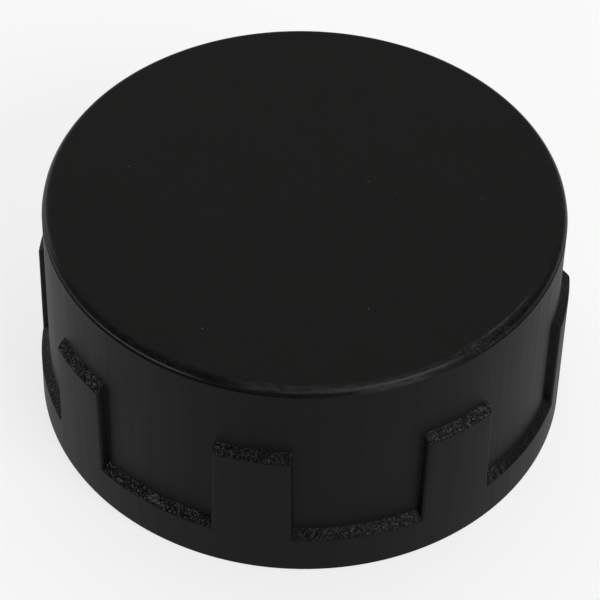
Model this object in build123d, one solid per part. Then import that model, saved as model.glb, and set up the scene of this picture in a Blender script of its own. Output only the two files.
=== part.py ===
from build123d import *
import os
from math import radians, tan

# A moulded plastic cap that screws over the end of a 2 inch parallel pipe thread.
# It is one piece: a flat top, a round wall, a band round the mouth and a ring of grips.
# The cap stands on the rim of its mouth. The origin is the centre of that rim, and +Z
# runs along the thread's axis to the flat top. One grip is centred on -Y.
# All sizes are in millimetres and degrees.

# Thread inside the cap
thread_major_diameter = 59.614   # roots of the pipe thread in the cap
thread_turns_per_inch = 11
thread_depth_in_pitches = 0.640327   # root to crest of the 55 degree rounded form
mouth_clearance = 0.4            # how far the mouth's chamfer opens past the roots
mouth_chamfer_angle = 45.0       # slope of that chamfer, from level
seat_corner_break = 0.8          # bevel between the bore and its flat end

# Shell
cap_height = 33.4                # mouth rim to flat top
top_thickness = 4.8              # flat end over the bore
wall_thickness = 5.2             # thread roots to the wall's outside, at the mouth rim
outer_draft = 0.5                # lean of the band, the grips and the wall, for the mould
top_edge_radius = 1.35           # rounding between the wall and the flat top
foot_edge_break = 0.3            # bevel of the band at the mouth rim

# Band and grips
band_height = 6.1                # mouth rim to the band's outer top edge
grip_count = 8
grip_depth = 1.2                 # how far the band and the grips stand out from the wall
grip_height = 20.8               # mouth rim to a grip's outer top edge
grip_width = 11.0                # width of a grip, measured at the mouth rim
grip_side_draft = 1.2            # lean of a grip's two sides
grip_edge_radius = 0.35          # rounding of a grip's upright edges
ledge_angle = 45.0               # slope of the ledges on the band and the grips, from level

inch = 25.4
thread_pitch = inch / thread_turns_per_inch
root_radius = thread_major_diameter / 2
bore_radius = root_radius - thread_depth_in_pitches * thread_pitch
bore_depth = cap_height - top_thickness
mouth_radius = root_radius + mouth_clearance
mouth_chamfer_depth = (mouth_radius - bore_radius) * tan(radians(mouth_chamfer_angle))
foot_radius = root_radius + wall_thickness + grip_depth


def outer_radius(height):
    """Radius of the band and of the grips' outer faces at a height."""
    return foot_radius - height * tan(radians(outer_draft))


def wall_radius(height):
    """Radius of the wall behind the grips at a height."""
    return outer_radius(height) - grip_depth


def ledge_rise():
    """Height of a sloping ledge, from the outer edge in to the leaning wall."""
    slope = tan(radians(ledge_angle))
    return grip_depth * slope / (1 - slope * tan(radians(outer_draft)))


def corner_of(face, point):
    """The corner of an upright face that lies at a (radius, height) point."""
    radius, height = point
    return face.vertices().sort_by_distance((radius, 0, height))[0]


def turned(points, roundings, bevels):
    """Solid of revolution of an outline, with some of its corners rounded or bevelled.

    points are (radius, height) pairs. roundings and bevels map a point's place in the
    list to a radius and to the length that a bevel takes off each side.
    """
    face = make_face(Plane.XZ * Polyline(*points, close=True)).face()
    for place, radius in roundings.items():
        face = face.fillet_2d(radius, [corner_of(face, points[place])])
    for place, length in bevels.items():
        face = face.chamfer_2d(length, length, [corner_of(face, points[place])])
    return revolve(face, Axis.Z)


def capped_tube():
    """The cap without its grips: band, wall, flat top, bore and chamfered mouth."""
    ledge_top = band_height + ledge_rise()
    outline = [
        (foot_radius, 0),
        (outer_radius(band_height), band_height),
        (wall_radius(ledge_top), ledge_top),
        (wall_radius(cap_height), cap_height),
        (0, cap_height),
        (0, bore_depth),
        (bore_radius, bore_depth),
        (bore_radius, mouth_chamfer_depth),
        (mouth_radius, 0),
    ]
    foot, top_edge, seat_corner = 0, 3, 6
    roundings = {top_edge: top_edge_radius}
    bevels = {foot: foot_edge_break, seat_corner: seat_corner_break}
    return turned(outline, roundings, bevels)


def grip_ring():
    """The ring that the grips are parts of, from inside the wall to their outer faces."""
    ledge_top = grip_height + ledge_rise()
    inner_radius = wall_radius(cap_height) - wall_thickness / 2
    foot = band_height / 2
    outline = [
        (inner_radius, foot),
        (outer_radius(foot), foot),
        (outer_radius(grip_height), grip_height),
        (wall_radius(ledge_top), ledge_top),
        (inner_radius, ledge_top),
    ]
    return turned(outline, {}, {})


def grip():
    """One grip, centred on -Y, narrower at its top, with its upright edges rounded."""
    top = grip_height + ledge_rise()
    half_foot = grip_width / 2
    half_top = half_foot - top * tan(radians(grip_side_draft))
    front = Polyline((-half_foot, 0), (half_foot, 0), (half_top, top), (-half_top, top), close=True)
    blank = extrude(make_face(Plane.XZ * front), 2 * foot_radius)
    block = grip_ring() & blank
    upright = [
        edge for edge in block.edges()
        if edge.bounding_box().size.Z > grip_height / 2
        and -edge.center().Y > wall_radius(0) - grip_depth / 2
    ]
    return fillet(upright, grip_edge_radius)


def end_cap():
    """The whole cap, one moulded solid."""
    cap = capped_tube()
    one_grip = grip()
    for place in PolarLocations(0, grip_count):
        cap += place * one_grip
    return cap.clean()


os.makedirs("parts", exist_ok=True)
cap = end_cap()
cap.label = "end_cap"
export_step(cap, "parts/end_cap.step")
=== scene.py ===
"""A black moulded end cap for a 2 inch pipe thread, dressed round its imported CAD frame.

The cap is one moulding, so one mesh stands for it: the shell with its band, grips and
sloping ledges, and inside it the pipe thread with its chamfered mouth and flat seat.
Lengths are in metres and angles in radians. The cap stands on the rim of its mouth, the
origin is the centre of that rim, and one grip is centred on -Y.
"""

import logging
import math
from dataclasses import dataclass, field
from enum import Enum

import bmesh
import bpy
from mathutils import Matrix, Vector, noise


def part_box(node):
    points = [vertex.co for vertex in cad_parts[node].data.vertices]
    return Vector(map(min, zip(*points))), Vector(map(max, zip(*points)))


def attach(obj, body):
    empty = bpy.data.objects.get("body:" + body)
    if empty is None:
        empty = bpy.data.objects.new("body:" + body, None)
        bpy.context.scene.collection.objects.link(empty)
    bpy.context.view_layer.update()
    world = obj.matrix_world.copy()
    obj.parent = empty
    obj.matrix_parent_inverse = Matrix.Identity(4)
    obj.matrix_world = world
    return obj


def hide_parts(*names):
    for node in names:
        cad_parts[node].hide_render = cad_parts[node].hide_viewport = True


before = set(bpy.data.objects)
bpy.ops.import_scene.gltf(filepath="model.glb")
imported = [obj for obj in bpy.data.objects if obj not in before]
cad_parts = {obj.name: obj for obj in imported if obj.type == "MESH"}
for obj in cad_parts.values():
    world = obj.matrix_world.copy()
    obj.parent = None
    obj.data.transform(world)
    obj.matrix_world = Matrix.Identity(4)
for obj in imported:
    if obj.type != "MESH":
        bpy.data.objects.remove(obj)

LOG = logging.getLogger("end_cap")
MM = 0.001
METRE = 1.0
INCH = 25.4 * MM
FULL_TURN = 2 * math.pi
NODE = "end_cap"

Point2 = tuple[float, float]
Colour = tuple[float, float, float]
Stops = tuple[Point2, ...]


class Zone(Enum):
    """Float attributes of the cap's mesh that tell its finish where it is."""

    LEDGE = "on_ledge"     # 1 on the sloping ledges, 0 elsewhere
    RIM = "rim_turn"       # turn of the top edge's rounding: 0 at the wall, 1 at the flat top


def smoothstep(low: float, high: float, value: float) -> float:
    """Goes smoothly from 0 at low to 1 at high.

    Args:
        low: value at which the result leaves 0.
        high: value at which the result reaches 1.
        value: where the step is read.

    Returns:
        The step's height, from 0 to 1.
    """
    share = min(max((value - low) / (high - low), 0.0), 1.0)
    return share * share * (3 - 2 * share)


def polar(place: Vector) -> Point2:
    """Radius and azimuth about the cap's axis."""
    return math.hypot(place.x, place.y), math.atan2(place.y, place.x)


def at_polar(radius: float, azimuth: float, height: float) -> Vector:
    """The point at a radius, azimuth and height about the cap's axis."""
    return Vector((radius * math.cos(azimuth), radius * math.sin(azimuth), height))


def wire(bm: bmesh.types.BMesh, points: list[Point2], azimuth: float) -> list:
    """Adds an open chain of edges in the upright plane at an azimuth.

    Args:
        bm: mesh that gets the chain.
        points: (radius, height) of each corner.
        azimuth: turn of the plane about the cap's axis.

    Returns:
        The new vertices and edges, ready to be spun.
    """
    corners = [bm.verts.new(at_polar(radius, azimuth, height)) for radius, height in points]
    links = [bm.edges.new(pair) for pair in zip(corners, corners[1:])]
    return corners + links


def spun(bm: bmesh.types.BMesh, geometry: list, angle: float, steps: int, rise: float = 0.0) -> list:
    """Spins geometry about the cap's axis.

    Args:
        bm: mesh that holds the geometry.
        geometry: vertices and edges to spin.
        angle: how far they turn.
        steps: columns of faces on the way.
        rise: how far they climb in all.

    Returns:
        The last copy of the spun geometry.
    """
    result = bmesh.ops.spin(
        bm, geom=geometry, cent=(0, 0, 0), axis=(0, 0, 1), dvec=(0, 0, rise / steps),
        angle=angle, steps=steps, use_merge=False,
    )
    return result["geom_last"]


@dataclass
class PipeThread:
    """The female pipe thread: rounded 55 degree form, chamfered mouth, run-out and seat."""

    major_diameter: float = 59.614 * MM
    turns_per_inch: float = 11.0
    depth_in_pitches: float = 0.640327
    rounding_in_pitches: float = 0.137329
    half_flank: float = math.radians(27.5)
    mouth_clearance: float = 0.4 * MM
    run_out: float = 2.2 * MM
    plain_top: float = 0.5 * MM
    seat_break: float = 0.8 * MM
    depth: float = 28.6 * MM
    steps_per_turn: int = 128
    arc_steps: int = 4

    @property
    def pitch(self) -> float:
        """Distance between neighbouring crests."""
        return INCH / self.turns_per_inch

    @property
    def root_radius(self) -> float:
        """Radius of the thread's roots, the deepest cut into the cap."""
        return self.major_diameter / 2

    @property
    def bore_radius(self) -> float:
        """Radius of the crests and of the plain bore over them."""
        return self.root_radius - self.depth_in_pitches * self.pitch

    @property
    def mouth_radius(self) -> float:
        """Radius of the chamfer where it meets the mouth's rim."""
        return self.root_radius + self.mouth_clearance

    @property
    def bevel_start(self) -> float:
        """Height at which the bore turns in towards the seat."""
        return self.depth - self.seat_break

    def form(self) -> list[Point2]:
        """One pitch of the thread's form.

        Returns:
            (radius, height) points from the middle of one crest, without the next one's.
        """
        rounding = self.rounding_in_pitches * self.pitch
        sweep = math.pi / 2 - self.half_flank
        crest_centre = self.bore_radius + rounding
        root_centre = self.root_radius - rounding
        points = []
        for step in range(self.arc_steps + 1):
            turn = sweep * step / self.arc_steps
            points.append((crest_centre - rounding * math.cos(turn), rounding * math.sin(turn)))
        for step in range(-self.arc_steps, self.arc_steps + 1):
            turn = sweep * step / self.arc_steps
            height = self.pitch / 2 + rounding * math.sin(turn)
            points.append((root_centre + rounding * math.cos(turn), height))
        for step in range(self.arc_steps, 0, -1):
            turn = sweep * step / self.arc_steps
            height = self.pitch - rounding * math.sin(turn)
            points.append((crest_centre - rounding * math.cos(turn), height))
        return points

    def trimmed(self, place: Vector) -> Vector:
        """Opens the thread to the mouth's chamfer and fades it out under the seat.

        Args:
            place: a point of the endless thread.

        Returns:
            The same point of the finished bore, at the same height and azimuth.
        """
        radius, azimuth = polar(place)
        fade = smoothstep(self.bevel_start - self.plain_top - self.run_out,
                          self.bevel_start - self.plain_top, place.z)
        radius += (self.bore_radius - radius) * fade
        radius = max(radius, self.mouth_radius - place.z)
        return at_polar(radius, azimuth, place.z)

    def build(self, bm: bmesh.types.BMesh) -> None:
        """Adds the threaded bore, open at the mouth, with its end closed by the seat.

        Args:
            bm: mesh that gets the bore.
        """
        turns = math.ceil(self.bevel_start / self.pitch) + 2
        points = [
            (radius, height + (turn - 2) * self.pitch)
            for turn in range(turns + 1)
            for radius, height in self.form()
        ]
        before = set(bm.verts)
        spun(bm, wire(bm, points, -math.pi / 2), FULL_TURN, self.steps_per_turn, self.pitch)
        bmesh.ops.remove_doubles(bm, verts=self.added(bm, before), dist=1e-6)
        for height, side in ((0.0, -1), (self.bevel_start, 1)):
            added = self.added(bm, before)
            edges = {edge for vertex in added for edge in vertex.link_edges}
            faces = {face for vertex in added for face in vertex.link_faces}
            bmesh.ops.bisect_plane(
                bm, geom=added + list(edges) + list(faces), dist=1e-7,
                plane_co=(0, 0, height), plane_no=(0, 0, side), clear_outer=True,
            )
        added = self.added(bm, before)
        bmesh.ops.remove_doubles(bm, verts=added, dist=2e-6)
        for vertex in self.added(bm, before):
            vertex.co = self.trimmed(vertex.co)
        self.close_end(bm, before)

    def added(self, bm: bmesh.types.BMesh, before: set) -> list:
        """The vertices that weren't in the mesh before."""
        return [vertex for vertex in bm.verts if vertex not in before]

    def close_end(self, bm: bmesh.types.BMesh, before: set) -> None:
        """Adds the seat's bevel and the flat seat to the top of the bore.

        Args:
            bm: mesh that holds the bore.
            before: the vertices that don't belong to the bore.
        """
        rim = {
            edge for vertex in self.added(bm, before) for edge in vertex.link_edges
            if edge.is_boundary and all(abs(v.co.z - self.bevel_start) < 1e-6 for v in edge.verts)
        }
        rings = (
            (self.bore_radius - self.seat_break, self.depth),
            (self.bore_radius * 0.5, self.depth),
            (self.bore_radius * 0.1, self.depth),
        )
        edges = list(rim)
        for radius, height in rings:
            result = bmesh.ops.extrude_edge_only(bm, edges=edges)["geom"]
            for vertex in (item for item in result if isinstance(item, bmesh.types.BMVert)):
                vertex.co = at_polar(radius, polar(vertex.co)[1], height)
            edges = [item for item in result if isinstance(item, bmesh.types.BMEdge)]
            edges = [edge for edge in edges if edge.is_boundary]
        bmesh.ops.contextual_create(bm, geom=edges)


@dataclass
class Shell:
    """The outside of the cap: band, wall, grips with their ledges, and flat top."""

    height: float
    root_radius: float
    wall: float = 5.2 * MM
    draft: float = math.radians(0.5)
    top_edge_radius: float = 1.35 * MM
    foot_edge_break: float = 0.3 * MM
    band_height: float = 6.1 * MM
    grip_count: int = 8
    grip_depth: float = 1.2 * MM
    grip_height: float = 20.8 * MM
    grip_width: float = 11.0 * MM
    grip_side_draft: float = math.radians(1.2)
    grip_edge_radius: float = 0.35 * MM
    ledge_edge_break: float = 0.13 * MM
    ledge_angle: float = math.radians(45)
    top_rings: tuple[float, ...] = (30 * MM, 15 * MM, 2 * MM, 0.0)
    rounding_steps: int = 8
    grip_columns: int = 9
    wall_columns: int = 8
    ledge_cuts: int = 9
    rim_cuts: int = 5
    ledge_relief: float = 0.05 * MM
    rim_relief: float = 0.012 * MM
    grain_size: float = 0.30 * MM
    parting_share: float = 0.22
    parting_step: float = 0.17 * MM

    @property
    def foot_radius(self) -> float:
        """Radius of the band and the grips at the mouth's rim."""
        return self.root_radius + self.wall + self.grip_depth

    @property
    def share(self) -> float:
        """Half of one grip's share of the circle."""
        return math.pi / self.grip_count

    @property
    def ledge_rise(self) -> float:
        """Height of a ledge, from its outer edge in to the leaning wall."""
        slope = math.tan(self.ledge_angle)
        return self.grip_depth * slope / (1 - slope * math.tan(self.draft))

    def outer_radius(self, height: float) -> float:
        """Radius of the band and of the grips' outer faces at a height."""
        return self.foot_radius - height * math.tan(self.draft)

    def wall_radius(self, height: float) -> float:
        """Radius of the wall behind the grips at a height."""
        return self.outer_radius(height) - self.grip_depth

    def grip_edge(self, radius: float, height: float) -> float:
        """Half of the angle that a grip takes up at a radius and height."""
        half_width = self.grip_width / 2 - height * math.tan(self.grip_side_draft)
        return math.asin(half_width / radius)

    @property
    def spun_edge(self) -> float:
        """Half of a grip's angle where its columns are spun, on the band's ledge."""
        top = self.band_height + self.ledge_rise
        return self.grip_edge(self.wall_radius(top), top)

    def from_grip(self, azimuth: float) -> Point2:
        """The nearest grip's azimuth, and how far an azimuth is from it."""
        pitch = 2 * self.share
        middle = round((azimuth + math.pi / 2) / pitch) * pitch - math.pi / 2
        return middle, azimuth - middle

    def steered(self, offset: float, old_edge: float, new_edge: float) -> float:
        """Moves a column of faces when the grip's edge beside it moves.

        Args:
            offset: angle of the column from the middle of its grip.
            old_edge: angle of the grip's edge before.
            new_edge: angle of the grip's edge after.

        Returns:
            The column's new angle; the middles of the grip and of the wall stay.
        """
        size = abs(offset)
        if size <= old_edge:
            moved = size * new_edge / old_edge
        else:
            moved = new_edge + (size - old_edge) * (self.share - new_edge) / (self.share - old_edge)
        return math.copysign(moved, offset)

    def profile(self) -> list[Point2]:
        """The wall's outline from the mouth's rim to the middle of the flat top."""
        band_top = self.band_height + self.ledge_rise
        grip_top = self.grip_height + self.ledge_rise
        bend = self.height - self.top_edge_radius
        centre = self.wall_radius(bend) - self.top_edge_radius
        points = [(self.wall_radius(height), height) for height in (0, band_top, grip_top, bend)]
        for step in range(1, self.rounding_steps + 1):
            turn = math.pi / 2 * step / self.rounding_steps
            points.append((centre + self.top_edge_radius * math.cos(turn),
                           bend + self.top_edge_radius * math.sin(turn)))
        points += [(radius, self.height) for radius in self.top_rings]
        return points

    def build(self, bm: bmesh.types.BMesh) -> None:
        """Adds the whole outside, open inside the mouth's rim.

        Args:
            bm: empty mesh that gets the shell.
        """
        edge = self.spun_edge
        start = -math.pi / 2 - self.share
        geometry = wire(bm, self.profile(), start)
        spans = (
            (self.share - edge, self.wall_columns),
            (2 * edge, self.grip_columns),
            (self.share - edge, self.wall_columns),
        )
        for _ in range(self.grip_count):
            for angle, columns in spans:
                geometry = spun(bm, geometry, angle, columns)
        bmesh.ops.remove_doubles(bm, verts=bm.verts, dist=1e-6)
        bmesh.ops.recalc_face_normals(bm, faces=bm.faces)
        raised = self.raised_faces(bm)
        self.lean_columns(bm)
        self.raise_grips(bm, raised)
        self.break_edges(bm)
        self.roughen_ledges(bm)
        self.roughen_rim(bm)

    def raised_faces(self, bm: bmesh.types.BMesh) -> list:
        """The faces of the wall that the band and the grips grow out of."""
        raised = []
        for face in bm.faces:
            middle = face.calc_center_median()
            offset = self.from_grip(polar(middle)[1])[1]
            in_band = middle.z < self.band_height
            in_grip = middle.z < self.grip_height and abs(offset) < self.spun_edge
            if in_band or in_grip:
                raised.append(face)
        return raised

    def lean_columns(self, bm: bmesh.types.BMesh) -> None:
        """Turns the wall's columns so that two of them follow each grip's leaning sides."""
        grip_top = self.grip_height + self.ledge_rise
        for vertex in bm.verts:
            radius, azimuth = polar(vertex.co)
            if radius < self.top_rings[-2] or vertex.co.z < self.foot_edge_break:
                continue
            middle, offset = self.from_grip(azimuth)
            level = min(vertex.co.z, grip_top)
            edge = self.grip_edge(self.wall_radius(level), level)
            turned = self.steered(offset, self.spun_edge, edge)
            vertex.co = at_polar(radius, middle + turned, vertex.co.z)

    def raise_grips(self, bm: bmesh.types.BMesh, raised: list) -> None:
        """Draws the band and the grips out of the wall, with their ledges sloping up to it.

        Args:
            bm: mesh that holds the wall.
            raised: its faces that are drawn out.
        """
        result = bmesh.ops.extrude_face_region(bm, geom=raised)["geom"]
        bmesh.ops.delete(bm, geom=[face for face in raised if face.is_valid], context="FACES")
        for vertex in (item for item in result if isinstance(item, bmesh.types.BMVert)):
            height = vertex.co.z
            old_edge = self.spun_edge
            if height > self.foot_edge_break:
                old_edge = self.grip_edge(self.wall_radius(height), height)
                height -= self.ledge_rise
            middle, offset = self.from_grip(polar(vertex.co)[1])
            radius = self.outer_radius(height)
            turned = self.steered(offset, old_edge, self.grip_edge(radius, height))
            vertex.co = at_polar(radius, middle + turned, height)

    def break_edges(self, bm: bmesh.types.BMesh) -> None:
        """Rounds the grips' upright edges, the ledges' edges and the corners beside them."""
        upright = [edge for edge in self.edges_over(bm, math.radians(60)) if self.is_upright(edge)]
        self.bevel(bm, upright, self.grip_edge_radius, 3)
        foot = [edge for edge in self.edges_over(bm, math.radians(60)) if self.is_foot(edge)]
        self.bevel(bm, foot, self.foot_edge_break, 1)
        rest = [edge for edge in self.edges_over(bm, math.radians(33))
                if max(vertex.co.z for vertex in edge.verts) > self.band_height / 2]
        self.bevel(bm, rest, self.ledge_edge_break, 2)

    def is_upright(self, edge: bmesh.types.BMEdge) -> bool:
        """Whether an edge is one of a grip's two outer upright ones."""
        low, high = sorted(edge.verts, key=lambda vertex: vertex.co.z)
        half_depth = self.grip_depth / 2
        outer = all(polar(v.co)[0] > self.wall_radius(v.co.z) + half_depth for v in (low, high))
        return outer and low.co.z > self.band_height / 2 and high.co.z - low.co.z > self.band_height

    def is_foot(self, edge: bmesh.types.BMEdge) -> bool:
        """Whether an edge is part of the band's outer one at the mouth's rim."""
        half_depth = self.grip_depth / 2
        return all(v.co.z < half_depth and polar(v.co)[0] > self.wall_radius(0) + half_depth
                   for v in edge.verts)

    def edges_over(self, bm: bmesh.types.BMesh, angle: float) -> list:
        """The edges whose two faces turn by more than an angle."""
        bm.normal_update()
        return [edge for edge in bm.edges
                if len(edge.link_faces) == 2 and edge.calc_face_angle() > angle]

    def bevel(self, bm: bmesh.types.BMesh, edges: list, width: float, segments: int) -> None:
        """Rounds edges over a width, in a number of segments."""
        bmesh.ops.bevel(
            bm, geom=edges, offset=width, offset_type="OFFSET", affect="EDGES", segments=segments,
            profile=0.5, material=-1, clamp_overlap=True, loop_slide=True,
        )

    def is_ledge(self, face: bmesh.types.BMFace) -> bool:
        """Whether a face lies on the slope of a ledge, clear of its rounded edges."""
        middle = face.calc_center_median()
        return (abs(face.normal.z - math.cos(self.ledge_angle)) < 0.06
                and middle.z < self.grip_height + self.ledge_rise
                and face.calc_area() > self.ledge_edge_break ** 2)

    def roughen_ledges(self, bm: bmesh.types.BMesh) -> None:
        """Divides the ledges finely and gives them the spark-eroded mould's coarse grain."""
        layer = bm.verts.layers.float.new(Zone.LEDGE.value)
        bm.normal_update()
        wide = [face for face in bm.faces if self.is_ledge(face) and len(face.verts) > 4]
        bmesh.ops.triangulate(bm, faces=wide)
        bm.normal_update()
        edges = {edge for face in bm.faces if self.is_ledge(face) for edge in face.edges}
        bmesh.ops.subdivide_edges(
            bm, edges=list(edges), cuts=self.ledge_cuts, use_grid_fill=True, use_only_quads=False,
        )
        bm.normal_update()
        inner = [vertex for vertex in bm.verts if vertex.link_faces
                 and all(self.is_ledge_cell(face) for face in vertex.link_faces)
                 and min(edge.calc_length() for edge in vertex.link_edges) > self.ledge_relief]
        for face in (face for face in bm.faces if self.is_ledge_cell(face)):
            for vertex in face.verts:
                vertex[layer] = 1.0
        shifts = [vertex.normal * self.ledge_relief * self.grain(vertex.co) for vertex in inner]
        for vertex, shift in zip(inner, shifts):
            vertex.co += shift

    def is_ledge_cell(self, face: bmesh.types.BMFace) -> bool:
        """Whether a small face is a cell of a divided ledge."""
        middle = face.calc_center_median()
        return (abs(face.normal.z - math.cos(self.ledge_angle)) < 0.03
                and middle.z < self.grip_height + self.ledge_rise)

    def grain(self, place: Vector) -> float:
        """Height of the eroded grain at a point, from about -1 to 1."""
        coarse = noise.noise(place / self.grain_size, noise_basis="PERLIN_ORIGINAL")
        fine = noise.noise(place * 2.3 / self.grain_size, noise_basis="PERLIN_ORIGINAL")
        return 1.2 * coarse + 0.6 * fine

    def rim_turn(self, place: Vector) -> float:
        """How far round the top edge a point lies, from 0 on the wall to 1 on the flat top."""
        bend = self.height - self.top_edge_radius
        centre = self.wall_radius(bend) - self.top_edge_radius
        turn = math.atan2(place.z - bend, polar(place)[0] - centre)
        return min(max(turn / (math.pi / 2), 0.0), 1.0)

    def on_rim(self, vertex: bmesh.types.BMVert) -> bool:
        """Whether a vertex lies on the rounding of the top edge or on its borders."""
        bend = self.height - self.top_edge_radius
        flat = self.wall_radius(bend) - self.top_edge_radius
        return vertex.co.z > bend - 1e-6 and polar(vertex.co)[0] > flat - 1e-6

    def parting_depth(self, share: float) -> float:
        """How far the rounding steps in under the parting line of the mould.

        Args:
            share: turn round the top edge, 0 on the wall and 1 on the flat top.

        Returns:
            The step's depth there, 0 above the parting line and on the wall.
        """
        if share > self.parting_share:
            return 0.0
        return self.parting_step * smoothstep(0.0, self.parting_share / 2, share)

    def roughen_rim(self, bm: bmesh.types.BMesh) -> None:
        """Divides the top edge's rounding finely, for its parting line and its shallow grain."""
        layer = bm.verts.layers.float.new(Zone.RIM.value)
        rim = [edge for edge in bm.edges if all(self.on_rim(vertex) for vertex in edge.verts)]
        along = [edge for edge in rim if abs(edge.verts[0].co.z - edge.verts[1].co.z) < 1e-6]
        bmesh.ops.subdivide_edges(bm, edges=along, cuts=self.rim_cuts, use_grid_fill=True)
        rim = [edge for edge in bm.edges if all(self.on_rim(vertex) for vertex in edge.verts)]
        across = [edge for edge in rim if abs(edge.verts[0].co.z - edge.verts[1].co.z) > 1e-6]
        bmesh.ops.subdivide_edges(bm, edges=across, cuts=1, use_grid_fill=True)
        bend = self.height - self.top_edge_radius
        centre = self.wall_radius(bend) - self.top_edge_radius
        for vertex in bm.verts:
            radius, azimuth = polar(vertex.co)
            if not self.on_rim(vertex):
                vertex[layer] = 1.0 if vertex.co.z > bend else 0.0
                continue
            share = self.rim_turn(vertex.co)
            turn = share * math.pi / 2
            relief = self.rim_relief * self.grain(vertex.co) * math.sin(2 * turn)
            reach = self.top_edge_radius + min(relief, 0.0) - self.parting_depth(share)
            vertex.co = at_polar(centre + reach * math.cos(turn), azimuth,
                                 bend + reach * math.sin(turn))
            vertex[layer] = share


class NodeBench:
    """Puts shader nodes into one material's tree and joins them."""

    def __init__(self, tree: bpy.types.NodeTree) -> None:
        """Takes the tree that gets the nodes."""
        self.tree = tree

    def feed(self, socket: bpy.types.NodeSocket, value: object) -> None:
        """Sets a socket to a number or colour, or joins another socket to it."""
        if isinstance(value, bpy.types.NodeSocket):
            self.tree.links.new(value, socket)
        else:
            socket.default_value = value

    def place(self) -> bpy.types.NodeSocket:
        """Object coordinates, in metres."""
        return self.tree.nodes.new("ShaderNodeTexCoord").outputs["Object"]

    def zone(self, zone: Zone) -> bpy.types.NodeSocket:
        """One of the mesh's own float attributes."""
        node = self.tree.nodes.new("ShaderNodeAttribute")
        node.attribute_name = zone.value
        return node.outputs["Fac"]

    def stretched(self, vector: bpy.types.NodeSocket, scale: tuple) -> bpy.types.NodeSocket:
        """Coordinates scaled along each axis."""
        node = self.tree.nodes.new("ShaderNodeMapping")
        self.feed(node.inputs["Vector"], vector)
        node.inputs["Scale"].default_value = scale
        return node.outputs["Vector"]

    def clouds(self, vector: bpy.types.NodeSocket, size: float, detail: float = 2.0) -> bpy.types.NodeSocket:
        """Soft noise from 0 to 1.

        Args:
            vector: coordinates that it follows.
            size: length of its largest waves, in the coordinates' unit.
            detail: octaves of finer waves.

        Returns:
            The noise, 0.5 on average.
        """
        node = self.tree.nodes.new("ShaderNodeTexNoise")
        self.feed(node.inputs["Vector"], vector)
        node.inputs["Scale"].default_value = 1 / size
        node.inputs["Detail"].default_value = detail
        return node.outputs["Fac"]

    def cells(self, vector: bpy.types.NodeSocket, size: float) -> tuple:
        """Scattered points.

        Args:
            vector: coordinates that they follow.
            size: mean distance between points.

        Returns:
            Distance to the nearest point, in sizes, and a random colour for each point.
        """
        node = self.tree.nodes.new("ShaderNodeTexVoronoi")
        self.feed(node.inputs["Vector"], vector)
        node.inputs["Scale"].default_value = 1 / size
        return node.outputs["Distance"], node.outputs["Color"]

    def red(self, colour: bpy.types.NodeSocket) -> bpy.types.NodeSocket:
        """The first channel of a colour."""
        node = self.tree.nodes.new("ShaderNodeSeparateColor")
        self.feed(node.inputs["Color"], colour)
        return node.outputs["Red"]

    def azimuth(self, vector: bpy.types.NodeSocket) -> bpy.types.NodeSocket:
        """Azimuth about the cap's axis as a share of a turn, 0.5 on +X and 0.25 on -Y."""
        node = self.tree.nodes.new("ShaderNodeTexGradient")
        node.gradient_type = "RADIAL"
        self.feed(node.inputs["Vector"], vector)
        return node.outputs["Fac"]

    def window(self, value: bpy.types.NodeSocket, stops: Stops) -> bpy.types.NodeSocket:
        """Reads a value through a smooth curve of (position, height) stops."""
        node = self.tree.nodes.new("ShaderNodeValToRGB")
        ramp = node.color_ramp
        ramp.interpolation = "EASE"
        for place, (position, height) in enumerate(stops):
            stop = ramp.elements[place] if place < 2 else ramp.elements.new(position)
            stop.position = position
            stop.color = (height, height, height, 1.0)
        self.feed(node.inputs["Fac"], value)
        return node.outputs["Color"]

    def sums(self, operation: str, first: object, second: object) -> bpy.types.NodeSocket:
        """One sum on two numbers or sockets, such as MULTIPLY, ADD or MAXIMUM."""
        node = self.tree.nodes.new("ShaderNodeMath")
        node.operation = operation
        self.feed(node.inputs[0], first)
        self.feed(node.inputs[1], second)
        return node.outputs["Value"]

    def times(self, *factors: object) -> bpy.types.NodeSocket:
        """The product of two or more numbers or sockets."""
        product = factors[0]
        for factor in factors[1:]:
            product = self.sums("MULTIPLY", product, factor)
        return product

    def spread(self, share: object, low: object, high: object) -> bpy.types.NodeSocket:
        """A number from low to high, by a share from 0 to 1."""
        node = self.tree.nodes.new("ShaderNodeMix")
        self.feed(node.inputs["Factor"], share)
        self.feed(node.inputs["A"], low)
        self.feed(node.inputs["B"], high)
        return node.outputs["Result"]

    def tint(self, share: object, low: object, high: object) -> bpy.types.NodeSocket:
        """A colour from low to high, by a share from 0 to 1."""
        node = self.tree.nodes.new("ShaderNodeMix")
        node.data_type = "RGBA"
        self.feed(node.inputs["Factor"], share)
        for name, colour in (("A", low), ("B", high)):
            self.feed(node.inputs[name], (*colour, 1.0) if isinstance(colour, tuple) else colour)
        return node.outputs["Result"]


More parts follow.
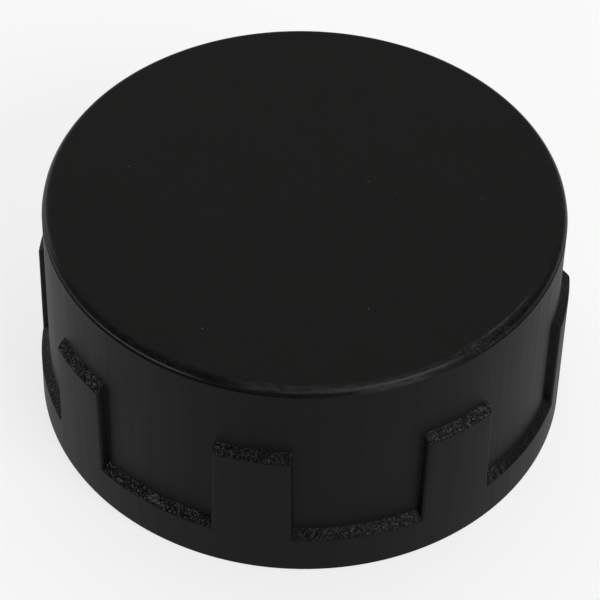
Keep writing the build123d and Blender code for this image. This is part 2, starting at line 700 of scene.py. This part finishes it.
@dataclass(frozen=True)
class BlackMoulding:
    """Matt black moulded plastic: mottled, coarse on its ledges and rubbed round its rim, with painted highlights on
    the rim and partly painted glints on the ledges.
    """

    top_colour: Colour = (0.0013, 0.0013, 0.0006)
    wall_colour: Colour = (0.0008, 0.0009, 0.0012)
    bloom_colour: Colour = (0.0026, 0.0026, 0.0024)
    pit_colour: Colour = (0.0004, 0.0004, 0.0004)
    # pale grains, partly painted glints
    speck_and_glint_colour: Colour = (0.088, 0.088, 0.088)
    # rubbed rim's colour, partly a painted highlight
    wear_and_highlight_colour: Colour = (0.036, 0.037, 0.035)
    # painted highlight along the parting line
    parting_highlight_colour: Colour = (0.080, 0.080, 0.076)
    dust_colour: Colour = (0.038, 0.038, 0.035)
    roughness: float = 0.52
    worn_roughness: float = 0.38
    eroded_roughness: float = 0.60
    rim_roughness: float = 0.30
    specular: float = 0.11
    grain_size: float = 0.17 * MM

    def specks(self, bench: NodeBench, place: bpy.types.NodeSocket) -> bpy.types.NodeSocket:
        """Bright grains of the spark-eroded faces, in loose clusters, partly pale grain and partly painted glints;
        their strength round the azimuth is painted light.
        """
        random = bench.cells(place, self.grain_size)[1]
        chosen = bench.window(bench.red(random), ((0.45, 0.0), (0.95, 1.0)))
        cluster = bench.window(bench.clouds(place, 1.3 * MM), ((0.34, 0.35), (0.62, 1.0)))
        # Painted light: how strong the grains are round the azimuth follows where the light falls on each side.
        arc = bench.window(bench.azimuth(place), (
            (0.00, 0.4), (0.08, 0.6), (0.14, 1.0), (0.20, 1.0), (0.24, 0.37), (0.31, 0.36), (0.36, 0.66),
            (0.39, 0.62), (0.43, 0.12), (0.49, 0.12), (0.55, 0.4)))
        return bench.times(chosen, cluster, arc)

    def on_rim(self, bench: NodeBench, place: bpy.types.NodeSocket, arc: Stops, turn: Stops) -> bpy.types.NodeSocket:
        """A soft-edged field on the top edge's rounding.

        Args:
            bench: the material's nodes.
            place: Object coordinates.
            arc: stops over the azimuth, as a share of the full circle.
            turn: stops over the rounding, from the wall to the flat top.

        Returns:
            The field's strength, from 0 to 1.
        """
        return bench.times(bench.window(bench.azimuth(place), arc), bench.window(bench.zone(Zone.RIM), turn))

    def wear_and_highlight(self, bench: NodeBench, place: bpy.types.NodeSocket) -> bpy.types.NodeSocket:
        """Rubbed parts of the top edge, partly real rubbing and partly painted highlight: a broad arc, a bright
        streak on it and its corner.
        """
        # Painted highlight: the broad arc, the streak and the corner stand partly for light caught on the rounding.
        broad = self.on_rim(bench, place, (
            (0.222, 0.0), (0.258, 0.60), (0.290, 0.62), (0.318, 0.42), (0.362, 0.26), (0.382, 0.10), (0.405, 0.0)),
            ((0.28, 0.0), (0.36, 1.0), (0.70, 0.8), (0.95, 0.0)))
        streak = self.on_rim(bench, place, (
            (0.302, 0.0), (0.318, 0.70), (0.350, 1.0), (0.357, 0.2), (0.378, 0.0)),
            ((0.03, 0.0), (0.12, 1.0), (0.32, 1.0), (0.44, 0.0)))
        corner = self.on_rim(bench, place, (
            (0.372, 0.0), (0.395, 0.60), (0.425, 0.55), (0.450, 0.0)),
            ((0.78, 0.0), (0.90, 1.0), (0.96, 1.0), (1.0, 0.0)))
        rubbed = bench.clouds(bench.stretched(place, (0.16, 0.16, 1.0)), 0.16 * MM, 3.0)
        scratches = bench.window(rubbed, ((0.36, 0.35), (0.60, 1.0)))
        return bench.times(bench.sums("MAXIMUM", bench.sums("MAXIMUM", broad, streak), corner), scratches)

    def parting(self, bench: NodeBench, place: bpy.types.NodeSocket) -> bpy.types.NodeSocket:
        """A painted highlight: a pale line along the mould's parting step, on one arc of the top edge."""
        line = self.on_rim(bench, place, (
            (0.100, 0.0), (0.145, 0.85), (0.200, 1.0), (0.224, 0.0)),
            ((0.14, 0.0), (0.20, 1.0), (0.28, 1.0), (0.35, 0.0)))
        return bench.times(line, bench.spread(bench.clouds(place, 0.9 * MM), 0.3, 1.3))

    def dust(self, bench: NodeBench, place: bpy.types.NodeSocket) -> bpy.types.NodeSocket:
        """Fine specks of dust, only on the flat top."""
        far, random = bench.cells(bench.stretched(place, (1.0, 1.0, 0.0)), 4 * MM)
        dot = bench.window(far, ((0.026, 1.0), (0.046, 0.0)))
        chosen = bench.window(bench.red(random), ((0.35, 0.0), (0.98, 1.0)))
        on_top = bench.window(bench.zone(Zone.RIM), ((0.96, 0.0), (1.0, 1.0)))
        return bench.times(dot, chosen, on_top)

    def material(self) -> bpy.types.Material:
        """Builds the finish as a node material.

        Returns:
            The material, reading Object coordinates and the cap's own attributes.
        """
        material = bpy.data.materials.new("black_moulding")
        material.use_nodes = True
        bench = NodeBench(material.node_tree)
        shader = material.node_tree.nodes["Principled BSDF"]
        shader.inputs["Specular IOR Level"].default_value = self.specular
        place = bench.place()
        ledge = bench.zone(Zone.LEDGE)
        rim = bench.window(bench.zone(Zone.RIM), ((0.02, 0.0), (0.10, 1.0), (0.80, 1.0), (0.97, 0.0)))
        specks = self.specks(bench, place)
        worn_and_highlit = self.wear_and_highlight(bench, place)
        parting = self.parting(bench, place)

        patches = bench.window(bench.clouds(place, 9 * MM, 3.0), ((0.35, 0.0), (0.65, 1.0)))
        grit = bench.window(bench.clouds(place, 0.45 * MM), ((0.38, 0.0), (0.72, 1.0)))
        colour = bench.tint(bench.zone(Zone.RIM), self.wall_colour, self.top_colour)
        colour = bench.tint(bench.times(grit, bench.spread(patches, 0.35, 1.0)), colour, self.bloom_colour)
        pitted = bench.window(bench.azimuth(place), (
            (0.06, 0.10), (0.20, 0.12), (0.25, 0.08), (0.36, 0.20), (0.40, 0.70), (0.48, 0.60), (0.60, 0.2)))
        eroded = bench.sums("MAXIMUM", ledge, bench.times(rim, pitted))
        # Eroded grains; their pale specks are partly painted glints.
        colour = bench.tint(eroded, colour, bench.tint(specks, self.pit_colour, self.speck_and_glint_colour))
        # Rubbed rim, partly painted highlight.
        colour = bench.tint(worn_and_highlit, colour, self.wear_and_highlight_colour)
        # Painted highlight along the parting line on one arc of the rim.
        colour = bench.tint(parting, colour, self.parting_highlight_colour)
        colour = bench.tint(self.dust(bench, place), colour, self.dust_colour)
        bench.feed(shader.inputs["Base Color"], colour)

        streaks = bench.clouds(bench.stretched(place, (1.0, 1.0, 0.03)), 0.8 * MM)
        roughness = bench.spread(streaks, self.roughness - 0.06, self.roughness + 0.06)
        crisp = bench.window(bench.zone(Zone.RIM), ((0.02, 0.0), (0.10, 1.0), (0.52, 1.0), (0.76, 0.0)))
        roughness = bench.spread(crisp, roughness, self.rim_roughness)
        roughness = bench.spread(ledge, roughness, self.eroded_roughness)
        roughness = bench.spread(worn_and_highlit, roughness, self.worn_roughness)
        bench.feed(shader.inputs["Roughness"], roughness)

        grain = bench.sums("ADD", bench.clouds(place, 0.16 * MM), bench.times(specks, 0.6))
        bump = material.node_tree.nodes.new("ShaderNodeBump")
        bump.inputs["Distance"].default_value = 0.03 * MM
        bench.feed(bump.inputs["Height"], grain)
        bench.feed(bump.inputs["Strength"], bench.spread(eroded, 0.18, 0.9))
        bench.feed(shader.inputs["Normal"], bump.outputs["Normal"])
        return material


@dataclass
class EndCap:
    """The whole cap, one mesh with its finish."""

    shell: Shell
    thread: PipeThread = field(default_factory=PipeThread)
    finish: BlackMoulding = field(default_factory=BlackMoulding)
    sharp_angle: float = math.radians(38)

    def join_rim(self, bm: bmesh.types.BMesh) -> None:
        """Closes the flat rim of the mouth, between the thread's chamfer and the shell.

        Args:
            bm: mesh that holds both, each open at the rim.
        """
        rim = [edge for edge in bm.edges if edge.is_boundary]
        bmesh.ops.bridge_loops(bm, edges=rim)

    def build(self) -> bpy.types.Object:
        """Builds the cap and hands it to the frame.

        Returns:
            The finished object, with its place in its mesh.
        """
        bm = bmesh.new()
        self.shell.build(bm)
        self.thread.build(bm)
        self.join_rim(bm)
        bmesh.ops.recalc_face_normals(bm, faces=bm.faces)
        bmesh.ops.triangulate(bm, faces=[face for face in bm.faces if len(face.verts) > 4])
        open_edges = sum(1 for edge in bm.edges if len(edge.link_faces) != 2)
        LOG.info("end cap: %d triangles, %d open edges, volume %.0f mm3",
                 sum(len(face.verts) - 2 for face in bm.faces), open_edges,
                 bm.calc_volume() / MM ** 3)
        mesh = bpy.data.meshes.new("end_cap_moulding")
        bm.to_mesh(mesh)
        bm.free()
        mesh.shade_smooth()
        mesh.set_sharp_from_angle(angle=self.sharp_angle)
        piece = bpy.data.objects.new("end_cap_moulding", mesh)
        bpy.context.scene.collection.objects.link(piece)
        normals = piece.modifiers.new("weighted_normals", "WEIGHTED_NORMAL")
        normals.keep_sharp = True
        mesh.materials.append(self.finish.material())
        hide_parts(NODE)
        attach(piece, "root")
        return piece


@dataclass
class PhotoCamera:
    """The camera, where the photograph's own stood."""

    lens: float = 154.688
    sensor: float = 36.0
    elevation: float = math.radians(45.8117)
    azimuth: float = math.radians(9.6486)
    roll: float = math.radians(1.3913)
    distance: float = 354.27 * MM
    target_side: float = -0.35 * MM
    target_height: float = 13.767 * MM

    def build(self) -> bpy.types.Object:
        """Adds the camera and makes it the scene's.

        Returns:
            The camera object.
        """
        turn = Matrix.Rotation(self.azimuth, 3, "Z")
        right = turn @ Vector((1, 0, 0))
        back = turn @ Vector((0, -math.cos(self.elevation), math.sin(self.elevation)))
        up = back.cross(right)
        tilted_right = math.cos(self.roll) * right + math.sin(self.roll) * up
        tilted_up = math.cos(self.roll) * up - math.sin(self.roll) * right
        target = turn @ Vector((self.target_side, 0, self.target_height))
        rotation = Matrix((tilted_right, tilted_up, back)).transposed()
        camera = bpy.data.objects.new("photo_camera", bpy.data.cameras.new("photo_camera"))
        camera.data.lens = self.lens
        camera.data.sensor_width = self.sensor
        camera.data.clip_start = 10 * MM
        camera.matrix_world = Matrix.Translation(target + self.distance * back) @ rotation.to_4x4()
        bpy.context.scene.collection.objects.link(camera)
        bpy.context.scene.camera = camera
        return camera


@dataclass(frozen=True)
class Softbox:
    """A large flat lamp that faces the cap."""

    name: str
    azimuth: float
    elevation: float
    distance: float
    size: Point2
    power: float

    def build(self) -> bpy.types.Object:
        """Adds the lamp.

        Returns:
            The lamp object.
        """
        light = bpy.data.lights.new(self.name, "AREA")
        light.shape = "RECTANGLE"
        light.size, light.size_y = self.size
        light.energy = self.power
        lamp = bpy.data.objects.new(self.name, light)
        flat = self.distance * math.cos(self.elevation)
        place = at_polar(flat, self.azimuth, self.distance * math.sin(self.elevation))
        turn = place.to_track_quat("Z", "Y").to_matrix().to_4x4()
        lamp.matrix_world = Matrix.Translation(place) @ turn
        bpy.context.scene.collection.objects.link(lamp)
        return lamp


@dataclass
class Studio:
    """The pale floor and the plain soft light round the cap."""

    floor_size: float = 3.0
    floor_colour: Colour = (0.93, 0.93, 0.93)
    floor_glow: float = 0.72
    sky_strength: float = 0.30
    softboxes: tuple[Softbox, ...] = (
        Softbox("right_softbox", math.radians(-39), math.radians(38), 0.9 * METRE, (0.54, 0.30), 3.8),
        Softbox("back_softbox", math.radians(86), math.radians(60), 1.0 * METRE, (1.50, 1.00), 5.0),
        Softbox("left_softbox", math.radians(150), math.radians(14), 1.1 * METRE, (0.50, 0.40), 1.8),
    )

    def build(self) -> None:
        """Adds the floor, the lamps and the pale sky."""
        self.build_floor()
        self.build_sky()
        self.build_lamps()

    def build_floor(self) -> bpy.types.Object:
        """Adds the floor as stage, not as part of the object.

        Returns:
            The floor object.
        """
        bm = bmesh.new()
        bmesh.ops.create_grid(bm, x_segments=4, y_segments=4, size=self.floor_size / 2)
        mesh = bpy.data.meshes.new("studio_floor")
        bm.to_mesh(mesh)
        bm.free()
        floor = bpy.data.objects.new("studio_floor", mesh)
        bpy.context.scene.collection.objects.link(floor)
        material = bpy.data.materials.new("floor_paper")
        material.use_nodes = True
        tree = material.node_tree
        bench = NodeBench(tree)
        paper = tree.nodes["Principled BSDF"]
        paper.inputs["Base Color"].default_value = (*self.floor_colour, 1.0)
        paper.inputs["Roughness"].default_value = 0.9
        paper.inputs["Specular IOR Level"].default_value = 0.1
        glow = tree.nodes.new("ShaderNodeEmission")
        seen = tree.nodes.new("ShaderNodeLightPath")
        looked_at = bench.sums("MAXIMUM", seen.outputs["Is Camera Ray"], seen.outputs["Is Glossy Ray"])
        looked_at = bench.sums("MAXIMUM", looked_at, seen.outputs["Is Transmission Ray"])
        mix = tree.nodes.new("ShaderNodeMixShader")
        bench.feed(mix.inputs[0], bench.times(looked_at, self.floor_glow))
        bench.feed(mix.inputs[1], paper.outputs["BSDF"])
        bench.feed(mix.inputs[2], glow.outputs["Emission"])
        bench.feed(tree.nodes["Material Output"].inputs["Surface"], mix.outputs["Shader"])
        mesh.materials.append(material)
        return floor

    def build_sky(self) -> None:
        """Adds an even pale world round the scene."""
        world = bpy.data.worlds.new("studio_sky")
        world.use_nodes = True
        world.node_tree.nodes["Background"].inputs["Color"].default_value = (1, 1, 1, 1)
        world.node_tree.nodes["Background"].inputs["Strength"].default_value = self.sky_strength
        bpy.context.scene.world = world

    def build_lamps(self) -> None:
        """Adds the softboxes."""
        for softbox in self.softboxes:
            softbox.build()


def main() -> None:
    """Builds the cap, the studio and the camera, in order."""
    logging.basicConfig(level=logging.INFO, format="%(name)s: %(message)s")
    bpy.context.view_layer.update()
    bpy.context.scene.view_settings.view_transform = "Standard"
    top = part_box(NODE)[1].z
    thread = PipeThread()
    cap = EndCap(shell=Shell(height=top, root_radius=thread.root_radius), thread=thread)
    cap.build()
    Studio().build()
    PhotoCamera().build()


if __name__ == "__main__":
    main()
